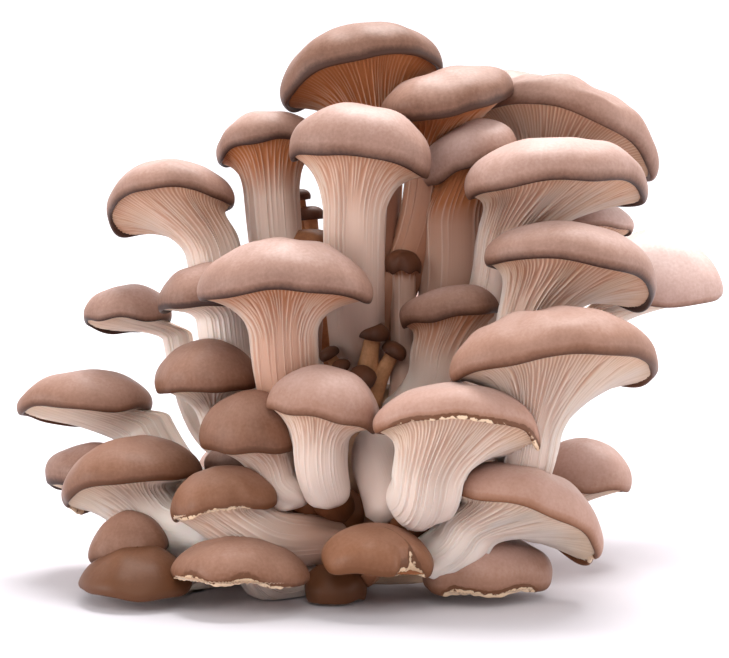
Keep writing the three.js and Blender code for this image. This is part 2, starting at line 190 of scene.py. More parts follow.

# one row for each mushroom, in millimetres and degrees
# at: middle of the margin; size: width, length outwards and inwards, dome height
# turn: bearing that the cap faces, outer end up, right side up
# stem: drop to the neck, radius, neck's shift inwards and right
# root, taper, lean, plumb, square, sag, droop, swell: its own values in place of stemForm's and capForm's
# tears: torn stretches of the margin, from bearing to bearing, and how deep of the half width
# tone: darker skin above 0, partly the skin's own colour, partly painted shade on the low caps that the
# others shade, and below 0 painted light on the pale far cap; tan: share of tan in the skin;
# rimAndShadeShare: strength of the dark rim, partly its own colour and partly painted shade
# warm shade: painted shade, how brown the flesh is made where caps and stems crowd over it, above 1 it goes
# to a painted dark shadow; root shade: how much more of that painted shade the root has
mushrooms = {
    "top": dict(bunch="crown", at=(-1.5, 15, 178), size=(60, 27, 17, 17), turn=(-90, 20, 11),
        stem=(26, 11, 4), square=2.1, sag=(0.11, 0.065), tone=0.2, tan=0.05, warm=1.15),
    "top_right": dict(bunch="crown", at=(29, -2, 168), size=(49, 22, 15, 12), turn=(-75, 5, 13),
        stem=(20, 9, 8, -9), sag=(0.03, 0.02), droop=0.1, tone=0.09, tan=0.05, rimAndShadeShare=1.25, warm=1.2),
    "high_right": dict(bunch="right_high", at=(72, 24, 157), size=(74, 30, 20, 16), turn=(-85, 23, -17),
        stem=(26, 11.5), swell=1.3, tone=0.1, rimAndShadeShare=0.62, warm=0.45),
    "high_left": dict(bunch="left_high", at=(-35, 8, 153), size=(39, 18, 13, 12), turn=(-100, 12, 10),
        stem=(20, 10.5, 0, -1), square=2.1, sag=(0.1, 0.085), tone=0.08, warm=1.05, rootShade=-0.95),
    "centre": dict(bunch="crown", at=(-1, -27, 150), size=(49, 20, 14, 17), turn=(-90, 6, -6),
        stem=(22, 11.5, -2, 0), sag=(0.06, 0.12), warm=0.7),
    "centre_right": dict(bunch="right_high", at=(37.5, -6, 149), size=(36, 15, 12, 12), turn=(-95, -5, 24),
        stem=(20, 13, 4, -15), tone=-0.08, warm=1.3, rootShade=-0.5),
    "right_upper": dict(bunch="right_high", at=(66, -25, 140), size=(69, 28, 20, 15), turn=(-62, 11, -3),
        stem=(22, 12, 15, -12), sag=(0.08, 0.08), tone=-0.06, warm=0.52),
    "left_upper": dict(bunch="left_high", at=(-69, 0, 132), size=(48, 24, 17, 14), turn=(-125, 18, 15),
        stem=(20, 10.5, 9, 12), square=2.0, sag=(0.11, 0.06), tan=0.04, warm=0.6,
        rootShade=-0.55),
    "middle_left": dict(bunch="left_front", at=(-27, -47, 106), size=(59, 24, 17, 16), turn=(-90, 6, 0),
        stem=(18, 11.5, -3, 0), square=2.05, tone=0.04, warm=0.85, rootShade=0.35),
    "right_middle": dict(bunch="right_mid", at=(71, -40, 111), size=(64, 27, 20, 15), turn=(-60, 10, -14),
        stem=(20, 12, 9, -9), square=2.1, sag=(0.05, 0.11), tone=-0.01, warm=0.5),
    "right_small": dict(bunch="right_high", at=(82, 15, 124), size=(28, 16, 11, 9), turn=(-20, 0, -15),
        stem=(13, 5), square=1.9, tone=-0.2, warm=0.5),
    "right_far": dict(bunch="right_high", at=(111, 60, 97), size=(46, 28, 24, 23), turn=(0, 0, 0),
        stem=(15, 8, 22), square=1.75, tone=-0.18, warm=0.1),
    "left_middle": dict(bunch="left_mid", at=(-55, -20, 100), size=(38, 17, 12, 12), turn=(-110, 0, 5),
        stem=(8, 10, 2, 4), plumb=1.6, square=1.95, tone=0.08, rimAndShadeShare=1.3, warm=0.05),
    "left_outer": dict(bunch="left_mid", at=(-84, 5, 91), size=(32, 18, 14, 12), turn=(-160, 4, 14),
        stem=(7, 6, 17), plumb=2.2, square=1.9, tone=0.04, warm=0.05),
    "middle_right": dict(bunch="middle", at=(32, -20, 94), size=(39, 17, 12, 10), turn=(-75, 12, 5),
        stem=(16, 10.5, 2, -8), sag=(0.03, 0.06), tone=0.05, tan=0.1, warm=0.8, rootShade=-0.6),
    "right_lower": dict(bunch="right_mid", at=(64, -62, 82), size=(74, 30, 21, 17), turn=(-65, 16, -4),
        stem=(24, 11, 6, -8), square=2.1, tone=0.02, tan=0.18, warm=0.35),
    "left_centre": dict(bunch="left_mid", at=(-55, -30, 73), size=(38, 17, 12, 13), turn=(-105, -5, 3),
        stem=(16, 6), square=1.9, tone=0.18, tan=0.16, warm=0.05),
    "left_tip": dict(bunch="left_low", at=(-97.5, -8, 60), size=(43, 26, 22, 13), turn=(-165, 4, 16),
        stem=(8, 10.5, 19), lean=0.55, square=1.95, tone=0.08, tan=0.14, warm=0.0),
    "front_upper": dict(bunch="front", at=(-13, -62, 66), size=(38, 17, 12, 14), turn=(-85, 1, -13),
        stem=(14, 9.4, -2, 1), root=(-11.5, -57, 32), square=2.1, tone=-0.04, tan=0.2, warm=0.45),
    "front_left": dict(bunch="front", at=(-38, -52, 56), size=(36, 17, 12, 15), turn=(-110, -8, 0),
        stem=(14, 8, 0, 7), root=(-21.7, -52, 31), square=1.9, tone=0.25, tan=0.2, warm=0.45),
    "front_right": dict(bunch="front_right", at=(32, -70, 60), size=(58, 24, 16, 14), turn=(-70, 21, -12),
        stem=(18, 12.5, 3, -9), root=(15.5, -60, 32), square=2.1, sag=(0.07, 0.11),
        tears=[(-80, 85, 0.0135)], tone=-0.17, tan=0.3, warm=0.35),
    "right_low": dict(bunch="right_mid", at=(79, 5, 32), size=(34, 19, 14, 15), turn=(-20, -5, -8),
        stem=(13, 6), square=1.9, tone=-0.1, tan=0.22),
    "left_lower": dict(bunch="left_low", at=(-81, -32, 37), size=(54, 25, 18, 15), turn=(-125, 6, 18),
        stem=(14, 12, 4, 4), root=(-48, -46, 16), taper=0.65, lean=0.6, square=1.9,
        tears=[(-100, -60, 0.04)], tone=0.21, tan=0.22, warm=0.0),
    "left_behind": dict(bunch="left_low", at=(-97, -2, 34), size=(36, 18, 16, 12), turn=(-160, 0, 10),
        stem=(13, 6), tone=0.12),
    "front_droop": dict(bunch="front_right", at=(54, -64, 31), size=(58, 24, 16, 15), turn=(-60, 9, -25),
        stem=(12, 10.5, 10, -14), root=(20, -58, 10), lean=0.5, square=2.0, sag=(0.06, 0.12),
        tears=[(62, 88, 0.08)], tone=-0.17, tan=0.36, warm=0.1),
    "front_torn": dict(bunch="front_low", at=(-48, -58, 34), size=(38, 18, 13, 12), turn=(-115, 0, 12),
        stem=(12, 11, 4, 7), root=(-8, -46, 14), taper=0.6, lean=0.75, square=1.9,
        tears=[(-70, 62, 0.06)], tone=0.25, tan=0.32, warm=0.2, rootShade=0.8),
    "left_tucked": dict(bunch="left_mid", at=(-45, -25, 42), size=(22, 10, 8, 7), turn=(-100, 0, 0),
        stem=(10, 4), tone=0.1, warm=0.6),
    "floor_front": dict(bunch="front_low", at=(-42, -72, 15), size=(48, 20, 15, 9), turn=(-110, -2, 0),
        stem=(5, 6, 14), square=1.9, tears=[(-75, 75, 0.1)], tone=0.18, tan=0.24, warm=0.35),
    "front_bottom": dict(bunch="front_low", at=(4, -76, 19), size=(37, 17, 13, 10), turn=(-90, -6, -5),
        stem=(4, 5, 13), square=2.1, tears=[(18, 66, 0.28)], tone=0.28, tan=0.4, warm=1.3),
    "floor_left_upper": dict(bunch="left_low", at=(-79, -44, 17), size=(30, 16, 11, 12), turn=(-150, -12, 4),
        stem=(8, 5, 10), square=1.65, tone=0.24, tan=0.2),
    "floor_left": dict(bunch="left_low", at=(-76, -58, 9), size=(43, 21, 14, 10), turn=(-135, -4, 0),
        stem=(6, 5, 13), square=1.65, tone=0.55, tan=0.3, warm=0.4),
    "floor_right": dict(bunch="front_right", at=(41, -54, 9), size=(45, 20, 14, 13), turn=(-75, -6, 0),
        stem=(6, 6, 13), tears=[(-60, 45, 0.07)], tone=-0.02, tan=0.28, warm=0.2),
    "floor_dark": dict(bunch="front_low", at=(-10, -60, 5), size=(21, 10, 8, 8), turn=(-90, -12, 0),
        stem=(3, 3, 7), tone=0.9, tan=0.3, warm=0.7),
    "bud_middle": dict(bunch="middle", at=(14, -3, 110), size=(13, 7, 6, 6), turn=(-90, 0, 0),
        stem=(6, 4.5, 0), taper=1.3, warm=0.9),
    "bud_left": dict(bunch="left_high", at=(-19, 2, 114), size=(24, 10, 9, 9), turn=(-90, 0, 0),
        stem=(10, 5, 0), tone=-0.2, warm=0.8),
    "back_top": dict(bunch="back_high", at=(50, 48, 170), size=(46, 20, 14, 11), turn=(60, 6, 0),
        stem=(20, 8)),
    "back_upper": dict(bunch="back_high", at=(0, 52, 147), size=(44, 20, 14, 12), turn=(100, 8, 0),
        stem=(20, 8)),
    "back_side": dict(bunch="back_high", at=(66, 52, 108), size=(48, 22, 15, 13), turn=(50, 6, 0),
        stem=(20, 8)),
    "back_centre": dict(bunch="back_high", at=(4, 66, 84), size=(58, 25, 17, 15), turn=(95, 8, 0),
        stem=(24, 9)),
    "back_right": dict(bunch="back_low", at=(58, 68, 70), size=(56, 25, 17, 15), turn=(60, 6, 0),
        stem=(22, 9)),
    "back_left": dict(bunch="back_high", at=(-46, 56, 98), size=(46, 21, 14, 13), turn=(120, 6, 0),
        stem=(19, 7.5)),
    "back_lower": dict(bunch="back_low", at=(0, 80, 43), size=(60, 25, 17, 15), turn=(90, 6, 0),
        stem=(21, 9.5)),
    "back_floor_right": dict(bunch="back_low", at=(50, 64, 23), size=(50, 23, 15, 13), turn=(40, 2, 0),
        stem=(14, 8)),
    "back_floor_left": dict(bunch="back_low", at=(-42, 58, 26), size=(50, 23, 15, 13), turn=(130, 2, 0),
        stem=(15, 8)),
}


def unit(v):
    # each vector over its own length
    return v / np.maximum(np.linalg.norm(v, axis=-1, keepdims=True), 1e-9)


def raised(points, floorHeight):
    # nothing lies lower than the floor's height
    low = np.array((-np.inf, -np.inf, floorHeight))
    return np.maximum(points, low)


# what is added to a mushroom's own number for each of its random waves
seedStep = {"tear": 7, "jag": 8, "fold": 40, "wave": 90}
lumpWaves = {"count": 10, "spread": (0.7, 1.5)}


def ripple(angle, seed, slowest, quickest):
    # a closed wave round a circle: a few cosines of whole numbers of waves, with seeded phases
    rng = np.random.default_rng(seed)
    waves = np.arange(slowest, quickest + 1)
    phases = rng.uniform(0, tau, len(waves))
    return np.cos(angle[..., None] * waves + phases).sum(-1) / math.sqrt(len(waves))


def lumps(points, size, seed):
    # soft lumps about size across: plane waves in seeded directions, added up
    rng = np.random.default_rng(seed)
    count = lumpWaves["count"]
    ways = unit(rng.normal(size=(count, 3)))
    ways = ways * tau / (size * rng.uniform(*lumpWaves["spread"], (count, 1)))
    return np.cos(points @ ways.T + rng.uniform(0, tau, count)).sum(-1) / math.sqrt(count)


def turned(face, pitch, roll):
    # columns are the cap's outward, right and up directions
    f, p, r = (math.radians(a) for a in (face, pitch, roll))
    about = np.array(((math.cos(f), -math.sin(f), 0), (math.sin(f), math.cos(f), 0), (0, 0, 1)))
    tip = np.array(((math.cos(p), 0, -math.sin(p)), (0, 1, 0), (math.sin(p), 0, math.cos(p))))
    lean = np.array(((1, 0, 0), (0, math.cos(r), -math.sin(r)), (0, math.sin(r), math.cos(r))))
    return about @ tip @ lean


def bezier(controls, t):
    # cubic curve; controls has four points on its first axis
    a, b, c, d = controls
    s = 1 - t
    return a * s**3 + b * 3 * s * s * t + c * 3 * s * t * t + d * t**3


def slope(controls, t):
    # direction of the cubic curve
    a, b, c, d = controls
    s = 1 - t
    return unit((b - a) * 3 * s * s + (c - b) * 6 * s * t + (d - c) * 3 * t * t)


# every cap: millimetres, or shares of the cap's own sizes
capForm = {
    "lip": 1.6,  # the rim hangs this far below the margin
    "square": 2.3,  # 2 is a plain ellipse, more is squarer
    "rimHeight": 0.24,  # of the dome, where the cap is widest
    "rimPower": 4,  # how quickly that place sinks on a rounder cap
    "rimRoll": 0.06,  # of the half width, how far the rim tucks under
    "foldIn": 0.035,  # how much further in the rim goes behind its lowest line
    "foldUp": 0.9,  # of the lip, how far it rises there
    "roof": (0.4, 0.2),  # share of the half width and height of the hidden roof over the gills
    "roofTip": 0.5,
    "sideSag": 0.085,  # of the width, on each side
    "frontSag": 0.03,  # of the width
    "sagPower": 2.3,
    "lobe": 0.035,  # slow waviness of the margin
    "lobes": 3,
    "ruffle": 0.006,  # quick waviness of the margin
    "ruffleWaves": (5, 13),
    "wave": 0.5,  # rise and fall of the margin
    "waves": (3, 7),
    "waveFrom": 0.5,  # of the half width, where the waviness begins
    "swell": 0.35,  # soft unevenness of the skin
    "swellSize": 13,
    "swellReach": 1.1,  # how near the rim the unevenness goes
    "fibreSlant": 0.3,  # change of the fibres' pattern from rim to tip
    "belt": 0.36,  # dark of the rim, partly its own and partly painted shade, that is left where the cap is widest
    "rimFade": 0.95,
    "domeFade": 1.5,
    "crownShade": 0.14,  # painted shade: the tip is a little darker again
    "crownFrom": 0.6,
    "columnsPerMm": 3.2,
    "tornColumnsPerMm": 5,
    "columns": (60, 300),  # fewest and most
    "domeRows": 30, "rimRows": 10, "foldRows": 4, "tipAngle": 0.03,
}
# torn margins: shares of the half width, unless said otherwise
tearForm = {
    "ends": 15,  # degrees over which a tear begins and ends
    "swing": 0.4,  # unevenness of its depth
    "swingWaves": (2, 6),
    "from": 0.6,  # the skin gives way from here outwards
    "jag": 0.004,  # small teeth
    "jagWaves": (11, 60),
    "jagFrom": 0.93,
    "jagGain": 40,  # how quickly the teeth grow with a tear's depth
    "gain": 60,  # how quickly bare flesh shows with it
    "bareFrom": 0.75,  # how near the rim flesh shows, and how much sooner in a deep tear
    "bareGain": 2,
    "bareSoft": (0.25, 0.1),
    "lump": 0.2,  # mm, crumbly flesh
    "lumpSize": 2.5,
}


def capPoint(m, angle, share, height):
    # a point of the cap in the cluster's frame: an oval, long in front, sagging at its sides
    c, s = np.cos(angle), np.sin(angle)
    wave = 1 + capForm["lobe"] * np.sin(capForm["lobes"] * angle + m["at"][0])
    length = (m["reach"] + m["back"]) / 2 + (m["reach"] - m["back"]) / 2 * c
    x = c * length * wave * share
    y = s * m["width"] / 2 * wave * share
    front = np.maximum(x, 0) / m["reach"]
    sideSag = np.where(y < 0, *m["sag"]) * np.abs(2 * y / m["width"]) ** capForm["sagPower"]
    sag = m["width"] * (sideSag + m["droop"] * front**2)
    local = np.stack(np.broadcast_arrays(x, y, height - sag), axis=-1)
    return m["origin"] + local @ m["axes"].T


def capAxis(m, height):
    # the point over the middle of the margin
    return capPoint(m, np.zeros(1), np.zeros(1), np.array([height]))[0]


def tearDepth(m, angle):
    # how far the margin is torn back at each bearing: an uneven bite between two bearings
    degrees = np.degrees((angle + np.pi) % tau - np.pi)
    uneven = np.clip(ripple(angle, m["seed"] + seedStep["tear"], *tearForm["swingWaves"]), -1, 1)
    bite = np.zeros_like(angle)
    for low, high, depth in m["tears"]:
        inside = smooth(0, tearForm["ends"], degrees - low) * smooth(0, tearForm["ends"], high - degrees)
        bite = bite + depth * inside * (1 + tearForm["swing"] * uneven)
    return bite


def capSurface(m):
    # grid of bearing by profile: hidden roof over the gills, tucked rim, then a squarish dome up to the
    # tip; share is the distance from the middle, edge how near a point is to the rim
    perMm = capForm["tornColumnsPerMm"] if m["tears"] else capForm["columnsPerMm"]
    columns = int(np.clip(m["width"] * perMm, *capForm["columns"]))
    quarter = np.pi / 2
    a = np.linspace(quarter, capForm["tipAngle"], capForm["domeRows"])
    b = np.linspace(quarter, 0, capForm["rimRows"] + 1)[:-1]
    g = np.linspace(quarter, 0, capForm["foldRows"] + 1)[:-1]
    power = 2 / m["square"]
    lip, roll, dome = capForm["lip"], capForm["rimRoll"], m["dome"]
    rim = capForm["rimHeight"] * dome * (m["square"] / capForm["square"]) ** capForm["rimPower"]
    roofShare, roofHeight = capForm["roof"]
    share = np.concatenate(([roofShare], 1 - roll - capForm["foldIn"] * np.sin(g),
                            1 - roll * (1 - np.cos(b)), np.sin(a) ** power))
    height = np.concatenate(([roofHeight], lip * (-1 + capForm["foldUp"] * (1 - np.cos(g))),
                             rim - (rim + lip) * np.sin(b), rim + (dome - rim) * np.cos(a) ** power))
    # the dark rim, partly the skin's own darker margin and partly painted shade on the down-turned rim;
    # painted shade makes the tip a little darker again
    belt, rimLeft, domeLeft = capForm["belt"], np.linspace(1, 0, len(b)), np.linspace(1, 0, len(a))
    crown = capForm["crownShade"] * smooth(capForm["crownFrom"], 1, 1 - domeLeft)
    edge = np.concatenate((np.ones(1 + len(g)), belt + (1 - belt) * rimLeft ** capForm["rimFade"],
                           belt * domeLeft ** capForm["domeFade"] + crown))
    angles, shares = np.meshgrid(np.arange(columns) / columns * tau, share)
    heights = np.repeat(height[:, None], columns, 1)
    edges = np.repeat(edge[:, None], columns, 1)

    bite = tearDepth(m, angles)
    outer = smooth(capForm["waveFrom"], 1, shares)
    ruffle = capForm["ruffle"] * ripple(angles, m["seed"], *capForm["ruffleWaves"]) * outer
    shares = shares * (1 + ruffle - bite * smooth(tearForm["from"], 1, shares))
    wave = capForm["wave"] * ripple(angles, m["seed"] + seedStep["wave"], *capForm["waves"])
    heights = heights + wave * outer
    jag = tearForm["jag"] * ripple(angles, m["seed"] + seedStep["jag"], *tearForm["jagWaves"])
    jag = jag * np.clip(bite * tearForm["jagGain"], 0, 1) * smooth(tearForm["jagFrom"], 1, shares)
    bare = tearForm["bareFrom"] - tearForm["bareGain"] * bite
    before, after = tearForm["bareSoft"]
    torn = np.clip(bite * tearForm["gain"], 0, 1) * smooth(bare - before, bare + after, edges)

    points = capPoint(m, angles, shares - jag, heights)
    crumbs = tearForm["lump"] * torn * lumps(points, tearForm["lumpSize"], m["seed"])
    swell = m["swell"] * lumps(points, capForm["swellSize"], m["seed"]) + crumbs
    swell = swell * np.clip(capForm["swellReach"] - edges + torn, 0, 1)
    points = points + m["axes"][:, 2] * swell[..., None]
    points = raised(points, ground)
    rows = np.repeat(np.linspace(0, 1, len(share))[:, None], columns, 1)
    fibre = np.stack((np.cos(angles), np.sin(angles), capForm["fibreSlant"] * rows), -1) + m["seed"]
    return {"points": points, "tips": [capAxis(m, capForm["roofTip"]), capAxis(m, dome)], "fibre": fibre,
            "values": {"edge": edges * m["rimAndShadeShare"], "tone": np.full_like(edges, m["tone"]),
                       "tan": np.full_like(edges, m["tan"]), "torn": torn}}


# every stem: shares of its own length and radius
stemForm = {
    "neckShift": 0.5,  # of the cap's inward length, how far the neck stands behind its middle
    "taper": 0.8,  # radius at the root, of that at the neck
    "lean": 0.25,  # how much it slants where it meets the cap
    "capPull": 0.2,  # how much it follows the cap's tilt there
    "upPull": 0.8,  # how much it stands upright there, less its lean
    "plumb": 1.2,  # how far it drops straight below the cap before it bends
    "handle": 0.36,  # how far the direction at each end is felt
    "spread": 0.4,  # how much it leaves away from the foot's heart
    "rise": 0.5,  # how much a stem with its own root leaves straight up
    "blunt": 0.12,  # length of its rounded root
    "closed": 0.98,
    "swollen": 0.14,  # the root is this much thicker
    "swollenLength": 0.2,
    "fold": 0.05,  # broad ridges
    "foldWaves": (2, 7),
    "foldTwist": 0.7,
    "foldFade": 0.5,
    "rows": 22,
    "rowPower": 1.4,  # above 1 the rows stand closer at the root
}
# every set of gills: shares of the way from root to gill edge, unless said otherwise
gillForm = {
    "perMm": 1.0,  # gills for each millimetre of the cap's width
    "fewest": 8,
    "sway": 0.35,  # of their spacing
    "swayWaves": (3, 9),
    "depth": 0.026,  # of the cap's width
    "long": (1, 0.2, 0, 0, 0, 0.2),  # height of a long gill, point by point over one spacing
    "short": (0, 0, 0.15, 1, 0.15, 0),  # and of the short gill between two long ones
    "runDown": 0.4,  # how many of the long ones run down the stem
    "runStart": (0.05, 0.4),
    "longStart": (0.4, 0.62),
    "shortStart": (0.6, 0.85),
    "tall": (0.6, 1.0),
    "shortTall": 0.8,
    "longGrow": 0.22,  # length over which a gill grows to its height
    "shortGrow": 0.12,
    "stemDepth": 0.25,  # of the depth, on the stem
    "deepen": (0.2, 0.65),
    "edgeShallow": 0.5,  # the depth lost at the gills' edge
    "shallow": (0.8, 1.0),
    "sunk": (0.0, 0.5),  # the grooves sink in between these
    "edge": 0.94,  # of the cap's half width, where the gills end
    "edgeUp": 0.4,  # of the lip, how far below the margin
    "flareRise": 0.5,  # of the drop, how far the neck's direction is felt
    "flareOut": 0.72,  # of the edge, where the flare turns level
    "hang": (0.8, 0.12),  # how far the gills hang below the lip: mm, and of the drop
    "roofTip": 0.3,
    "fibreSlant": 0.4,
    "rows": 26,
    "warm": 0.3,  # painted shade: how brown the flesh is made where it is hidden from the light
    "warmShadeSwing": 0.25,  # painted shade lost up the stem and won back on the gills under the cap
    "warmShadeStem": (0.1, 0.6),
    "warmShadeGills": (0.6, 1.0),
    "warmShadeRoot": (0.1, 0.75),
    "shadePower": 1.6,  # how the painted shade in the grooves darkens
    "shadeStem": 0.3,
    "shadeGrow": (0.4, 0.8),
}


def prepare():
    # each mushroom's seed, usual values, axes and stem line: a cubic curve from its root to the cap's neck
    usual = {"sag": (capForm["sideSag"], capForm["sideSag"]), "droop": capForm["frontSag"],
             "swell": capForm["swell"], "square": capForm["square"], "taper": stemForm["taper"],
             "lean": stemForm["lean"], "plumb": stemForm["plumb"], "tears": [], "tone": 0.0, "tan": 0.0,
             "rimAndShadeShare": 1.0, "warm": gillForm["warm"], "rootShade": 0.0}
    upright = np.array((0.0, 0.0, 1.0))
    for seed, m in enumerate(mushrooms.values()):
        ownRoot = "root" in m
        for key, value in usual.items():
            m.setdefault(key, value)
        m["seed"] = seed
        m["width"], m["reach"], m["back"], m["dome"] = m["size"]
        usualStem = (0, 0, stemForm["neckShift"] * m["back"], 0)
        m["drop"], m["radius"], inward, side = m["stem"] + usualStem[len(m["stem"]):]
        m["axes"] = turned(*m["turn"])
        m["origin"] = np.array(m["at"], float)
        root = np.array(m.get("root", bunchRoots[m["bunch"]]), float)
        neck = m["origin"] + m["axes"] @ np.array((-inward, side, -m["drop"]))
        length = np.linalg.norm(neck - root)
        chord = (neck - root) / length
        pull = m["axes"][:, 2] * stemForm["capPull"] + upright * (stemForm["upPull"] - m["lean"])
        arrive = unit(chord * m["lean"] + pull)
        away = upright if ownRoot else unit(root - baseHeart)
        share = stemForm["rise"] if ownRoot else stemForm["spread"]
        leave = unit(away * share + chord * (1 - share))
        m["blunt"] = m["radius"] * m["taper"] / length if ownRoot else stemForm["blunt"]
        m["arrive"], m["neck"] = arrive, neck
        handle = stemForm["handle"] * length
        m["line"] = np.array((root, root + leave * handle, neck - arrive * handle * m["plumb"], neck))


def gillSurface(m):
    # grid of bearing by length: rings along the stem's curve, then curves that flare from the neck to the
    # gills' edge; each gill starts at its own place, the short ones far out
    across = len(gillForm["long"])
    gills = max(int(m["width"] * gillForm["perMm"]), gillForm["fewest"])
    columns = gills * across
    rng = np.random.default_rng(m["seed"])
    step = np.arange(columns)
    sway = gillForm["sway"] * ripple(step / columns * tau, m["seed"], *gillForm["swayWaves"])
    angle = (step / across + sway) / gills * tau
    longGill = np.array(gillForm["long"])[step % across]
    shortGill = np.array(gillForm["short"])[step % across]
    runsDown = rng.random(gills) < gillForm["runDown"]
    runStart = rng.uniform(*gillForm["runStart"], gills)
    longStart = np.where(runsDown, runStart, rng.uniform(*gillForm["longStart"], gills)).repeat(across)
    shortStart = rng.uniform(*gillForm["shortStart"], gills).repeat(across)
    tall = rng.uniform(*gillForm["tall"], gills).repeat(across)
    stemRows = stemForm["rows"]
    s = np.linspace(0, 1, stemRows)[:, None] ** stemForm["rowPower"]
    t = np.linspace(0, 1, gillForm["rows"] + 1)[1:, None]
    along = np.concatenate((0.5 * s, 0.5 + 0.5 * t)) * np.ones((1, columns))   # the neck is halfway
    ridge = longGill * tall * smooth(longStart, longStart + gillForm["longGrow"], along)
    shortRidge = shortGill * smooth(shortStart, shortStart + gillForm["shortGrow"], along)
    ridge = np.clip(ridge + gillForm["shortTall"] * shortRidge, 0, 1)
    stemDepth = gillForm["stemDepth"]
    depth = m["width"] * gillForm["depth"]
    depth = depth * (stemDepth + (1 - stemDepth) * smooth(*gillForm["deepen"], along))
    depth = depth * (1 - gillForm["edgeShallow"] * smooth(*gillForm["shallow"], along))
    groove = depth * (smooth(*gillForm["sunk"], along) - ridge)

    # rings square to the stem's curve, carried down it without twisting
    arrive, neck, up = m["arrive"], m["neck"], m["axes"][:, 2]
    outward = unit(m["axes"][:, 0] - arrive * (m["axes"][:, 0] @ arrive))
    radial = np.cos(angle)[:, None] * outward + np.sin(angle)[:, None] * np.cross(arrive, outward)
    centre = bezier(m["line"][:, None, :], s)
    tangent = slope(m["line"][:, None, :], s)
    lean = np.cross(arrive, tangent)[:, None, :]
    swung = np.cross(lean, radial[None])
    swung = radial[None] + swung + np.cross(lean, swung) / (1 + tangent @ arrive)[:, None, None]
    swollen = stemForm["swollen"] * np.exp(-(s / stemForm["swollenLength"]) ** 2)
    girth = m["radius"] * (m["taper"] + (1 - m["taper"]) * s + swollen)
    girth = girth * np.sqrt(1 - stemForm["closed"] * np.clip(1 - s / m["blunt"], 0, 1) ** 2)
    twisted = angle[None] + stemForm["foldTwist"] * s
    folds = stemForm["fold"] * ripple(twisted, m["seed"] + seedStep["fold"], *stemForm["foldWaves"])
    girth = girth * (1 + folds * (1 - stemForm["foldFade"] * s))
    stem = centre[:, None, :] + swung * (girth - groove[:stemRows])[..., None]

    # the flare is a cubic curve at each bearing
    foot = neck + radial * girth[-1][:, None]
    rise = foot + arrive * m["drop"] * gillForm["flareRise"]
    hang, hangShare = gillForm["hang"]
    low = -capForm["lip"] - hang - m["drop"] * hangShare
    under = capPoint(m, angle, gillForm["edge"] * gillForm["flareOut"], low)
    edge = capPoint(m, angle, gillForm["edge"], -gillForm["edgeUp"] * capForm["lip"])
    flare = bezier((foot[None], rise[None], under[None], edge[None]), t[..., None])
    inside = unit(-radial[None] * (1 - t[..., None]) + up * t[..., None])
    flare = flare + inside * groove[stemRows:][..., None]

    points = np.concatenate((stem, flare))
    points = raised(points, ground)
    angles = np.repeat(angle[None], len(points), 0)
    fibre = np.stack((np.cos(angles), np.sin(angles), along * gillForm["fibreSlant"]), -1) + m["seed"]
    # painted shade: warm brown on the flesh, less up the stem and more on the gills under the cap and at the
    # root
    swing = smooth(*gillForm["warmShadeGills"], along) - smooth(*gillForm["warmShadeStem"], along)
    warm = m["warm"] * (1 + gillForm["warmShadeSwing"] * swing)
    warm = warm + m["rootShade"] * (1 - smooth(*gillForm["warmShadeRoot"], along))
    # painted shade in the gill grooves, weaker on the stem
    shadeStem = gillForm["shadeStem"]
    shade = np.clip(groove / depth, 0, 1) ** gillForm["shadePower"]
    shade = shade * (shadeStem + (1 - shadeStem) * smooth(*gillForm["shadeGrow"], along))
    return {"points": points, "tips": [m["line"][0], capAxis(m, gillForm["roofTip"])], "fibre": fibre,
            "values": {"along": along, "groove": shade, "warm": warm}}


# round bodies on a straight line: unevenness of the radius, and any direction that none of them points in
rodForm = {"uneven": 0.05, "waves": (1, 4), "twist": 3, "aside": (0.3, 0.9, 0.1)}


def rodSurface(start, end, profile, columns, seed):
    # a round body on a straight line: the profile's radius at each place along it, a little uneven
    start, end = np.array(start, float), np.array(end, float)
    axis = unit(end - start)
    side = unit(np.cross(axis, rodForm["aside"]))
    places, radii = (np.array(column)[:, None] for column in zip(*profile))
    angle = np.arange(columns)[None] / columns * tau
    uneven = ripple(angle + places * rodForm["twist"], seed, *rodForm["waves"])
    radii = radii * (1 + rodForm["uneven"] * uneven)
    ring = np.cos(angle)[..., None] * side + np.sin(angle)[..., None] * np.cross(axis, side)
    points = start + axis * (places * np.linalg.norm(end - start))[..., None] + ring * radii[..., None]
    points = raised(points, ground)
    return {"points": points, "tips": [start, end], "fibre": np.broadcast_to(ring, points.shape) + seed}


def plainFlesh(surface, warm):
    # flesh without gills: one amount of painted shade all over
    flat = np.zeros(surface["points"].shape[:2])
    return dict(surface, values={"along": flat, "groove": flat, "warm": flat + warm})


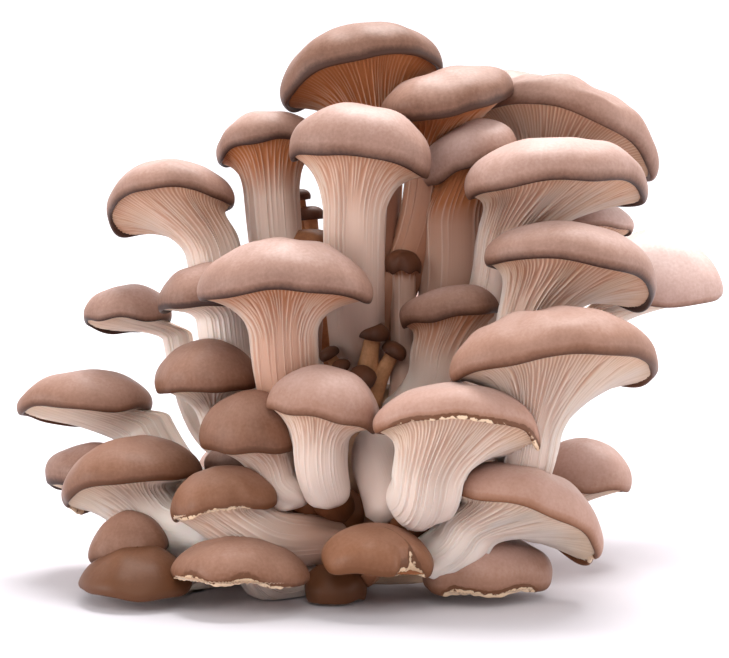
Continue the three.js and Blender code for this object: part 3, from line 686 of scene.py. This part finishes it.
def addPiece(name, surfaces, material):
    # joins closed grids into one mesh: quads between rings, a fan of triangles at each tip
    verts, quads, fans, fibres = [], [], [], []
    values = {key: [] for key in surfaces[0]["values"]}
    start = 0
    for surface in surfaces:
        rows, columns = surface["points"].shape[:2]
        index = start + np.arange(rows * columns).reshape(rows, columns)
        ahead = np.roll(index, -1, 1)
        quads.append(np.stack((index[:-1], ahead[:-1], ahead[1:], index[1:]), -1).reshape(-1, 4))
        low, high = start + rows * columns, start + rows * columns + 1
        fans.append(np.stack((np.full(columns, low), ahead[0], index[0]), -1))
        fans.append(np.stack((np.full(columns, high), index[-1], ahead[-1]), -1))
        verts += [surface["points"].reshape(-1, 3), np.array(surface["tips"])]
        fibres += [surface["fibre"].reshape(-1, 3), surface["fibre"][[0, -1]].mean(1)]
        for key, parts in values.items():
            parts += [surface["values"][key].ravel(), surface["values"][key][[0, -1]].mean(1)]
        start = high + 1
    verts = np.concatenate(verts) * mm
    quads, fans = np.concatenate(quads), np.concatenate(fans)
    corners = np.concatenate((quads.ravel(), fans.ravel())).astype(np.int32)
    starts = np.concatenate((np.arange(len(quads)) * 4, len(quads) * 4 + np.arange(len(fans)) * 3))
    mesh = bpy.data.meshes.new(name)
    mesh.vertices.add(len(verts))
    mesh.vertices.foreach_set("co", verts.astype(np.float32).ravel())
    mesh.loops.add(len(corners))
    mesh.loops.foreach_set("vertex_index", corners)
    mesh.polygons.add(len(starts))
    mesh.polygons.foreach_set("loop_start", starts.astype(np.int32))
    mesh.polygons.foreach_set("use_smooth", np.ones(len(starts), bool))
    mesh.update(calc_edges=True)
    for key, parts in values.items():
        layer = mesh.attributes.new(key, "FLOAT", "POINT")
        layer.data.foreach_set("value", np.concatenate(parts).astype(np.float32))
    layer = mesh.attributes.new("fibre", "FLOAT_VECTOR", "POINT")
    layer.data.foreach_set("vector", np.concatenate(fibres).astype(np.float32).ravel())
    mesh.materials.append(material)
    piece = bpy.data.objects.new(name, mesh)
    bpy.context.collection.objects.link(piece)
    return piece


def place(piece, slot, *nodes):
    # everything rides on the one body
    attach(piece, "root")
    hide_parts(*nodes)


def addScaled(tree, total, source, amount, middle):
    # total + amount * (source - middle)
    shift = addNode(tree, "ShaderNodeMath",
                    {"operation": "MULTIPLY_ADD", 1: amount, 2: -amount * middle}, {0: source})
    return addNode(tree, "ShaderNodeMath", {"operation": "ADD"}, {0: total, 1: shift.outputs[0]}).outputs[0]


def tinted(tree, colour, tints):
    # the colour, mixed in turn with each fixed tint by its amount
    for amount, tint in tints:
        mix = addNode(tree, "ShaderNodeMix", {"data_type": "RGBA", 7: linear(tint)}, {0: amount, 6: colour})
        colour = mix.outputs[2]
    return colour


noiseMiddle = 0.5  # a noise texture swings about this
capLook = {
    "stops": [(0.0, "#e8d7d2"), (0.25, "#c6a89f"), (0.5, "#9d7b6d"), (0.72, "#765546"), (0.9, "#4f352a"),
              (1.0, "#38221a")],
    "crown": 0.24, "rim": 0.92,  # place of the crown on the ramp, and how much further the rim is
    "mottleMm": 14, "mottle": 0.2,
    "fibresRound": 60, "fibres": 0.09,  # real fibres are finer, these are coarse enough to show
    "gritMm": 1.1, "grit": 0.16,  # so are the skin's pores
    "tan": "#945c34", "flesh": "#dcc0a2", "crumb": "#65402a", "crumbMm": 1.8,
    "dirtFrom": (0.06, 0.12), "fleshFrom": (0.34, 0.42),  # tornness where crumbs and bare flesh begin
    "roughness": 0.48, "ior": 1.4, "specular": 0.35, "bump": 0.2, "bumpMm": 0.25, "gritBump": 0.4,
}
budLook = dict(capLook, stops=[(0.0, "#be8a62"), (0.2, "#8a5a3a"), (0.4, "#6a412c"), (1.0, "#381e12")],
               mottleMm=5, fibresRound=40, roughness=0.5, crown=0.4, rim=0.5)


def makeCapSkin(name, look):
    # fungus skin, smooth and faintly fibrous: satin, pale on the crown, dark at the rim, that dark partly
    # its own colour and partly painted shade; torn edges show cream flesh with brown crumbs
    material, tree = newMaterial(name)
    at = addNode(tree, "ShaderNodeTexCoord", {}).outputs["Object"]
    edge, tone, tan, torn = (addNode(tree, "ShaderNodeAttribute", {"attribute_name": key}).outputs["Fac"]
                             for key in ("edge", "tone", "tan", "torn"))
    fibre = addNode(tree, "ShaderNodeAttribute", {"attribute_name": "fibre"}).outputs["Vector"]
    sizes = ((look["mottleMm"], 4.0), (look["crumbMm"], 3.0), (look["gritMm"], 2.0))
    mottle, crumbs, grit = (
        addNode(tree, "ShaderNodeTexNoise",
                {"Scale": 1 / (size * mm), "Detail": detail}, {"Vector": at}).outputs["Fac"]
        for size, detail in sizes)
    streak = addNode(tree, "ShaderNodeTexNoise",
                     {"Scale": look["fibresRound"] / tau, "Detail": 3.0}, {"Vector": fibre}).outputs["Fac"]
    # each cap's tone, partly painted shade and light, then the dark rim, partly the skin's own and partly
    # painted shade, give the place on the ramp
    total = addScaled(tree, tone, edge, look["rim"], -look["crown"] / look["rim"])
    total = addScaled(tree, total, mottle, look["mottle"], noiseMiddle)
    total = addScaled(tree, total, streak, look["fibres"], noiseMiddle)
    total = addScaled(tree, total, grit, look["grit"], noiseMiddle)
    colour = addNode(tree, "ShaderNodeValToRGB", {"stops": look["stops"]}, {"Fac": total}).outputs["Color"]
    frayed = addNode(tree, "ShaderNodeMath", {"operation": "MULTIPLY"}, {0: torn, 1: crumbs}).outputs[0]
    dirt, bare = (addNode(tree, "ShaderNodeValToRGB", {"stops": [(low, black), (high, white)]},
                          {"Fac": frayed}).outputs["Color"]
                  for low, high in (look["dirtFrom"], look["fleshFrom"]))
    colour = tinted(tree, colour, ((tan, look["tan"]), (dirt, look["crumb"]), (bare, look["flesh"])))
    relief = addScaled(tree, streak, grit, look["gritBump"], noiseMiddle)
    bump = addNode(tree, "ShaderNodeBump",
                   {"Strength": look["bump"], "Distance": look["bumpMm"] * mm}, {"Height": relief})
    skin = addNode(tree, "ShaderNodeBsdfPrincipled",
                   {"Roughness": look["roughness"], "IOR": look["ior"],
                    "Specular IOR Level": look["specular"]},
                   {"Base Color": colour, "Normal": bump.outputs["Normal"]})
    addNode(tree, "ShaderNodeOutputMaterial", {}, {"Surface": skin.outputs[0]})
    return material


fleshLook = {
    "stops": [(0.0, "#f3ebe4"), (0.45, "#f2e7de"), (0.75, "#eedccf"), (1.0, "#dfc5ad")],  # root to gills; the gills' tan end is partly their own colour and partly painted shade under the cap
    # painted shade in the gill grooves
    "groove": "#96694c", "grooveShadeShare": 0.5,
    # painted shade: warm brown where the flesh is hidden from the light, more in the grooves, and a painted
    # dark shadow where it is deepest
    "warm": "#9c5d33", "warmShadeShare": 0.76, "warmShadeGroove": 0.4, "deepShadow": "#301a10",
    "mottleMm": 16, "mottle": 0.3,
    "fibresRound": 80, "fibres": 0.25,  # real fibres are finer, these are coarse enough to show
    "roughness": 0.6, "ior": 1.38, "bump": 0.3, "bumpMm": 0.3,
    "glowWeight": 0.35, "glowColour": (1.0, 0.6, 0.45), "glowMm": 2.5,  # light that soaks in
}
# the foot's painted shade: dark brown in its hollows, warm brown all over
footLook = dict(fleshLook, stops=[(0.0, "#dcc2ab"), (0.4, "#d0ad93"), (1.0, "#b08868")], groove="#6d452f",
                grooveShadeShare=0.8, warm="#8a5a3c", warmShadeShare=0.4, warmShadeGroove=0.2, fibresRound=30)


def makeFlesh(name, look):
    # fungus flesh: matte and cream, with painted shade: tan in the gill grooves, warm brown where the stems
    # crowd together and dark where they are deepest
    material, tree = newMaterial(name)
    at = addNode(tree, "ShaderNodeTexCoord", {}).outputs["Object"]
    along, groove, warm = (addNode(tree, "ShaderNodeAttribute", {"attribute_name": key}).outputs["Fac"]
                           for key in ("along", "groove", "warm"))
    fibre = addNode(tree, "ShaderNodeAttribute", {"attribute_name": "fibre"}).outputs["Vector"]
    streak = addNode(tree, "ShaderNodeTexNoise",
                     {"Scale": look["fibresRound"] / tau, "Detail": 3.0}, {"Vector": fibre}).outputs["Fac"]
    mottle = addNode(tree, "ShaderNodeTexNoise",
                     {"Scale": 1 / (look["mottleMm"] * mm), "Detail": 4.0}, {"Vector": at}).outputs["Fac"]
    total = addScaled(tree, along, mottle, look["mottle"], noiseMiddle)
    total = addScaled(tree, total, streak, look["fibres"], noiseMiddle)
    colour = addNode(tree, "ShaderNodeValToRGB", {"stops": look["stops"]}, {"Fac": total}).outputs["Color"]
    # painted shade: groove colour in the grooves
    shade = addNode(tree, "ShaderNodeMath", {"operation": "MULTIPLY", 1: look["grooveShadeShare"]}, {0: groove})
    between = addNode(tree, "ShaderNodeMath",
                      {"operation": "MULTIPLY_ADD", 1: look["warmShadeGroove"], 2: look["warmShadeShare"]},
                      {0: groove})
    # painted shade: warm brown by its amount, and a painted dark shadow where that amount is above 1
    warmShadeAmount = addNode(tree, "ShaderNodeMath", {"operation": "MULTIPLY"}, {0: warm, 1: between.outputs[0]})
    hidden = addNode(tree, "ShaderNodeMath", {"operation": "SUBTRACT", 1: 1.0}, {0: warm})
    colour = tinted(tree, colour, ((shade.outputs[0], look["groove"]), (warmShadeAmount.outputs[0], look["warm"]),
                                   (hidden.outputs[0], look["deepShadow"])))
    bump = addNode(tree, "ShaderNodeBump",
                   {"Strength": look["bump"], "Distance": look["bumpMm"] * mm}, {"Height": streak})
    flesh = addNode(tree, "ShaderNodeBsdfPrincipled",
                    {"Roughness": look["roughness"], "IOR": look["ior"],
                     "Subsurface Weight": look["glowWeight"], "Subsurface Radius": look["glowColour"],
                     "Subsurface Scale": look["glowMm"] * mm},
                    {"Base Color": colour, "Normal": bump.outputs["Normal"]})
    addNode(tree, "ShaderNodeOutputMaterial", {}, {"Surface": flesh.outputs[0]})
    return material


prepare()
capSkin = makeCapSkin("oyster_cap_skin", capLook)
budSkin = makeCapSkin("young_cap_skin", budLook)
paleFlesh = makeFlesh("gill_and_stem_flesh", fleshLook)
footFlesh = makeFlesh("grown_foot_flesh", footLook)

for name, m in mushrooms.items():
    young = name.startswith("bud")
    cap = addPiece("skin_" + name, [capSurface(m)], budSkin if young else capSkin)
    place(cap, "bud_skin" if young else "cap_skin", "cap_" + name)
print("caps:", len(mushrooms))

# a blunt stem without a cap: millimetres, and its radius at each share of its length; its flesh gets painted
# shade
stub = {"bunch": "front_right", "root": (10.5, -58, 27), "tip": (0.6, -46, 57), "radius": 9.0, "warm": 0.6,
        "profile": [(0.01, 0.6), (0.15, 1.0), (0.4, 1.0), (0.6, 0.95), (0.75, 0.88), (0.86, 0.74),
                    (0.93, 0.55), (0.98, 0.28)], "columns": 48, "seed": 3}
# the lump at a bunch's root, painted dark brown as deep shadow
knuckle = {"radius": 9.5, "warm": 1.55, "uneven": 0.09, "rows": 24, "columns": 40, "fibre": 0.5}
# rods from that lump into hanging stems: shares of the stem's radius and length; painted dark brown like the
# lump
bridge = {"radius": 0.75, "reach": 0.3, "profile": [(0.01, 1.0), (0.3, 1.0), (0.8, 0.9), (0.97, 0.4)],
          "columns": 32}


def lumpSurface(centre, seed):
    # a ball with soft lumps
    radius, columns = knuckle["radius"], knuckle["columns"]
    a = np.linspace(-np.pi / 2, np.pi / 2, knuckle["rows"] + 2)[1:-1, None]
    b = np.arange(columns)[None] / columns * tau
    way = np.stack(np.broadcast_arrays(np.cos(a) * np.cos(b), np.cos(a) * np.sin(b), np.sin(a)), -1)
    centre = np.array(centre, float)
    uneven = 1 + knuckle["uneven"] * lumps(way * radius + centre, radius, seed)
    points = centre + way * (radius * uneven)[..., None]
    points = raised(points, ground)
    tips = [centre + np.array((0, 0, z)) for z in (max(-radius, ground - centre[2]), radius)]
    ball = {"points": points, "tips": tips, "fibre": way * knuckle["fibre"] + seed}
    # painted deep shadow, as set for the lump
    return plainFlesh(ball, knuckle["warm"])


def stubSurface():
    # the rounded rod of the stub's own profile
    profile = [(share, radius * stub["radius"]) for share, radius in stub["profile"]]
    body = rodSurface(stub["root"], stub["tip"], profile, stub["columns"], stub["seed"])
    return plainFlesh(body, stub["warm"])


def bridgeSurface(m, lump):
    # a thick rod from the bunch's lump into the rounded end of a stem that hangs out of it
    profile = [(share, radius * bridge["radius"] * m["radius"]) for share, radius in bridge["profile"]]
    body = rodSurface(lump, bezier(m["line"], bridge["reach"]), profile, bridge["columns"], m["seed"])
    # painted deep shadow, as on the lump
    return plainFlesh(body, knuckle["warm"])


for seed, (bunch, root) in enumerate(bunchRoots.items()):
    members = [m for m in mushrooms.values() if m["bunch"] == bunch]
    surfaces = [gillSurface(m) for m in members]
    surfaces.append(lumpSurface(root, seed))
    surfaces += [bridgeSurface(m, root) for m in members if "root" in m]
    if stub["bunch"] == bunch:
        surfaces.append(stubSurface())
    place(addPiece("flesh_" + bunch, surfaces, paleFlesh), "pale_flesh", "stems_" + bunch)
print("bunches of stems:", len(bunchRoots))

# tiny mushrooms: the point that a bunch springs from, its stems' radius, and each head's middle and radius
pins = {
    "middle": {"root": (-1, -14, 60), "stem": 2.6,
               "heads": [((3, -18, 86), 5), ((-12, -17, 79), 3.2), ((-8, -20, 75), 3), ((10, -18, 80), 4),
                         ((-1, -23, 71), 4.5)]},
    "back": {"root": (-14, 16, 56), "stem": 3.4, "heads": [((-24, 20, 133), 3.8), ((-20, 19, 126), 4.6)]},
}
pinForm = {
    "belly": 2.4,  # of the stem's radius, at its root
    "collar": 0.6,  # of the head's radius, where the stem meets it
    "neck": 1.1,  # of the head's radius, how far below its top
    "narrows": (-0.1, 0.9),  # of the stem's length, where the belly draws in
    "headUnder": 0.36,  # of half a turn, where the head's underside begins
    "headTop": 0.12,  # radians that its last ring stops short of the top
    "headTall": 1.3,  # above 1 the head is flatter
    "headWide": 1.15,
    "headPower": 0.8,  # below 1 it is squarer
    "stemEdge": -0.7,  # shade of the stem
    "headEdge": (1.0, 0.1),  # darkness of the head, rim to crown: partly its own dark rim, partly painted shade
    "stemRows": 14, "headRows": 16, "columns": 32,
}


def pinSurface(root, stem, middle, radius, seed):
    # a bottle-shaped stem, a pinched collar and a round head, all turned on one line
    root, middle = np.array(root, float), np.array(middle, float)
    end = middle + unit(middle - root) * radius
    length = np.linalg.norm(end - root)
    neck = 1 - pinForm["neck"] * radius / length
    below = np.linspace(0.01, neck, pinForm["stemRows"])
    belly, collar = stem * pinForm["belly"], pinForm["collar"] * radius
    bottle = belly + (collar - belly) * smooth(*pinForm["narrows"], below / neck)
    headAngle = np.linspace(np.pi * pinForm["headUnder"], np.pi - pinForm["headTop"], pinForm["headRows"])
    head = 1 - radius * (1 + np.cos(headAngle)) / pinForm["headTall"] / length
    crown = radius * pinForm["headWide"] * np.sin(headAngle) ** pinForm["headPower"]
    profile = list(zip(np.concatenate((below, head)), np.concatenate((bottle, crown))))
    body = rodSurface(root, end, profile, pinForm["columns"], seed)
    stemEdge = np.full(pinForm["stemRows"], pinForm["stemEdge"])
    edge = np.concatenate((stemEdge, np.linspace(*pinForm["headEdge"], pinForm["headRows"])))
    edge = edge[:, None] * np.ones((1, pinForm["columns"]))
    body["values"] = {"edge": edge, "tone": 0 * edge, "tan": 0 * edge, "torn": 0 * edge}
    return body


for bunch, row in pins.items():
    surfaces = [pinSurface(row["root"], row["stem"], at, radius, seed)
                for seed, (at, radius) in enumerate(row["heads"])]
    place(addPiece("tiny_" + bunch, surfaces, budSkin), "bud_skin", "pins_" + bunch)
print("tiny mushrooms:", sum(len(row["heads"]) for row in pins.values()))

# the grown-together foot, in millimetres: radius and height of its outline; its lumps' height, size, seed
base = {
    "outline": [(32, 0), (36, 12), (33, 30), (26, 46), (16, 60)], "top": 66,
    "lobes": 5, "lobeDepth": 0.06, "lobeTwist": 12,
    "lumps": [(1.6, 13, 5), (0.7, 5, 6)], "smoothBelow": 6, "lumpDown": 0.2,
    "rows": 48, "topRows": 8, "topAngles": (0.2, 1.4), "columns": 120,
    # painted shade: darker in the hollows between the lumps, and warm brown all over
    "along": (0.2, 0.7), "hollowShadeMm": 4, "warm": 0.5, "fibreMm": 9,
}


def baseSurface():
    # a lobed dome on a flat foot, with soft lumps at two sizes
    radii, heights = (np.array(column, float) for column in zip(*base["outline"]))
    shoulder, top, columns = heights[-1], base["top"], base["columns"]
    cover = np.sin(np.linspace(*base["topAngles"], base["topRows"]))
    z = np.concatenate((np.linspace(0, shoulder, base["rows"]), shoulder + (top - shoulder) * cover))
    over = np.clip((z - shoulder) / (top - shoulder), 0, 1)
    r = np.interp(z, heights, radii) * np.sqrt(1 - over**2)
    angle = np.arange(columns)[None] / columns * tau
    lobed = np.sin(base["lobes"] * angle + z[:, None] / base["lobeTwist"])
    r = r[:, None] * (1 + base["lobeDepth"] * lobed)
    points = np.stack(np.broadcast_arrays(r * np.cos(angle), r * np.sin(angle), z[:, None]), -1)
    rough = sum(height * lumps(points, size, seed) for height, size, seed in base["lumps"])
    rough = rough * smooth(0, base["smoothBelow"], z)[:, None]
    points = points + unit(points * np.array((1, 1, base["lumpDown"]))) * rough[..., None]
    points[0, :, 2] = 0
    points = raised(points, 0)
    low, more = base["along"]
    along = np.repeat((low + more * z / top)[:, None], columns, 1)
    # painted shade in the hollows between the lumps
    groove = np.clip(-rough / base["hollowShadeMm"], 0, 1)
    tips = [np.zeros(3), np.array((0, 0, top))]
    return {"points": points, "tips": tips, "fibre": points / base["fibreMm"],
            "values": {"along": along, "groove": groove, "warm": base["warm"] + 0 * along}}


place(addPiece("grown_foot", [baseSurface()], footFlesh), "base_flesh", "base")
print("foot done")
